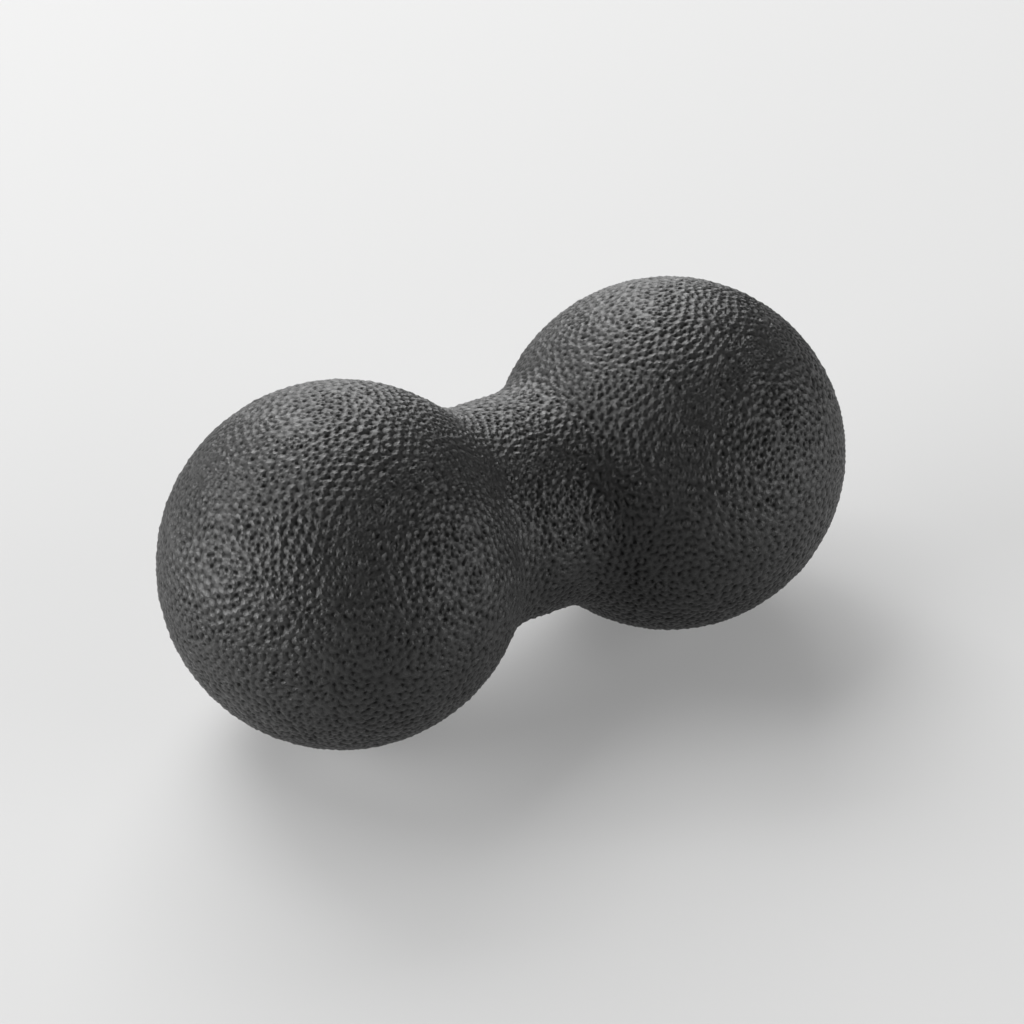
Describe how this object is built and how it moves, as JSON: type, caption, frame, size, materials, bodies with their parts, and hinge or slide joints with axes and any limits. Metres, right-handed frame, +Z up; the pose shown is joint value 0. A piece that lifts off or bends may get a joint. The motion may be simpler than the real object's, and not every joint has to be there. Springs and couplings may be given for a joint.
{
  "type": "peanut massage ball",
  "caption": "Peanut-shaped massage ball: two foam balls joined by a short round neck, with a fine pebbled skin all over.",
  "frame": {"origin": "on the surface that the ball lies on, straight under the middle of the neck", "axes": "+X along the long axis through both ball centres, +Z up from the surface, +Y completes the right-handed frame"},
  "size_m": [0.1644, 0.08, 0.08],
  "materials": {
    "skin": "black moulded foam skin with a fine pebbled leather-like grain and a soft satin sheen",
    "core": "matt black expanded foam, fine closed cells between fused beads"
  },
  "bodies": {
    "root": {"outer_skin": "skin", "foam_core": "core"}
  },
  "joints": []
}
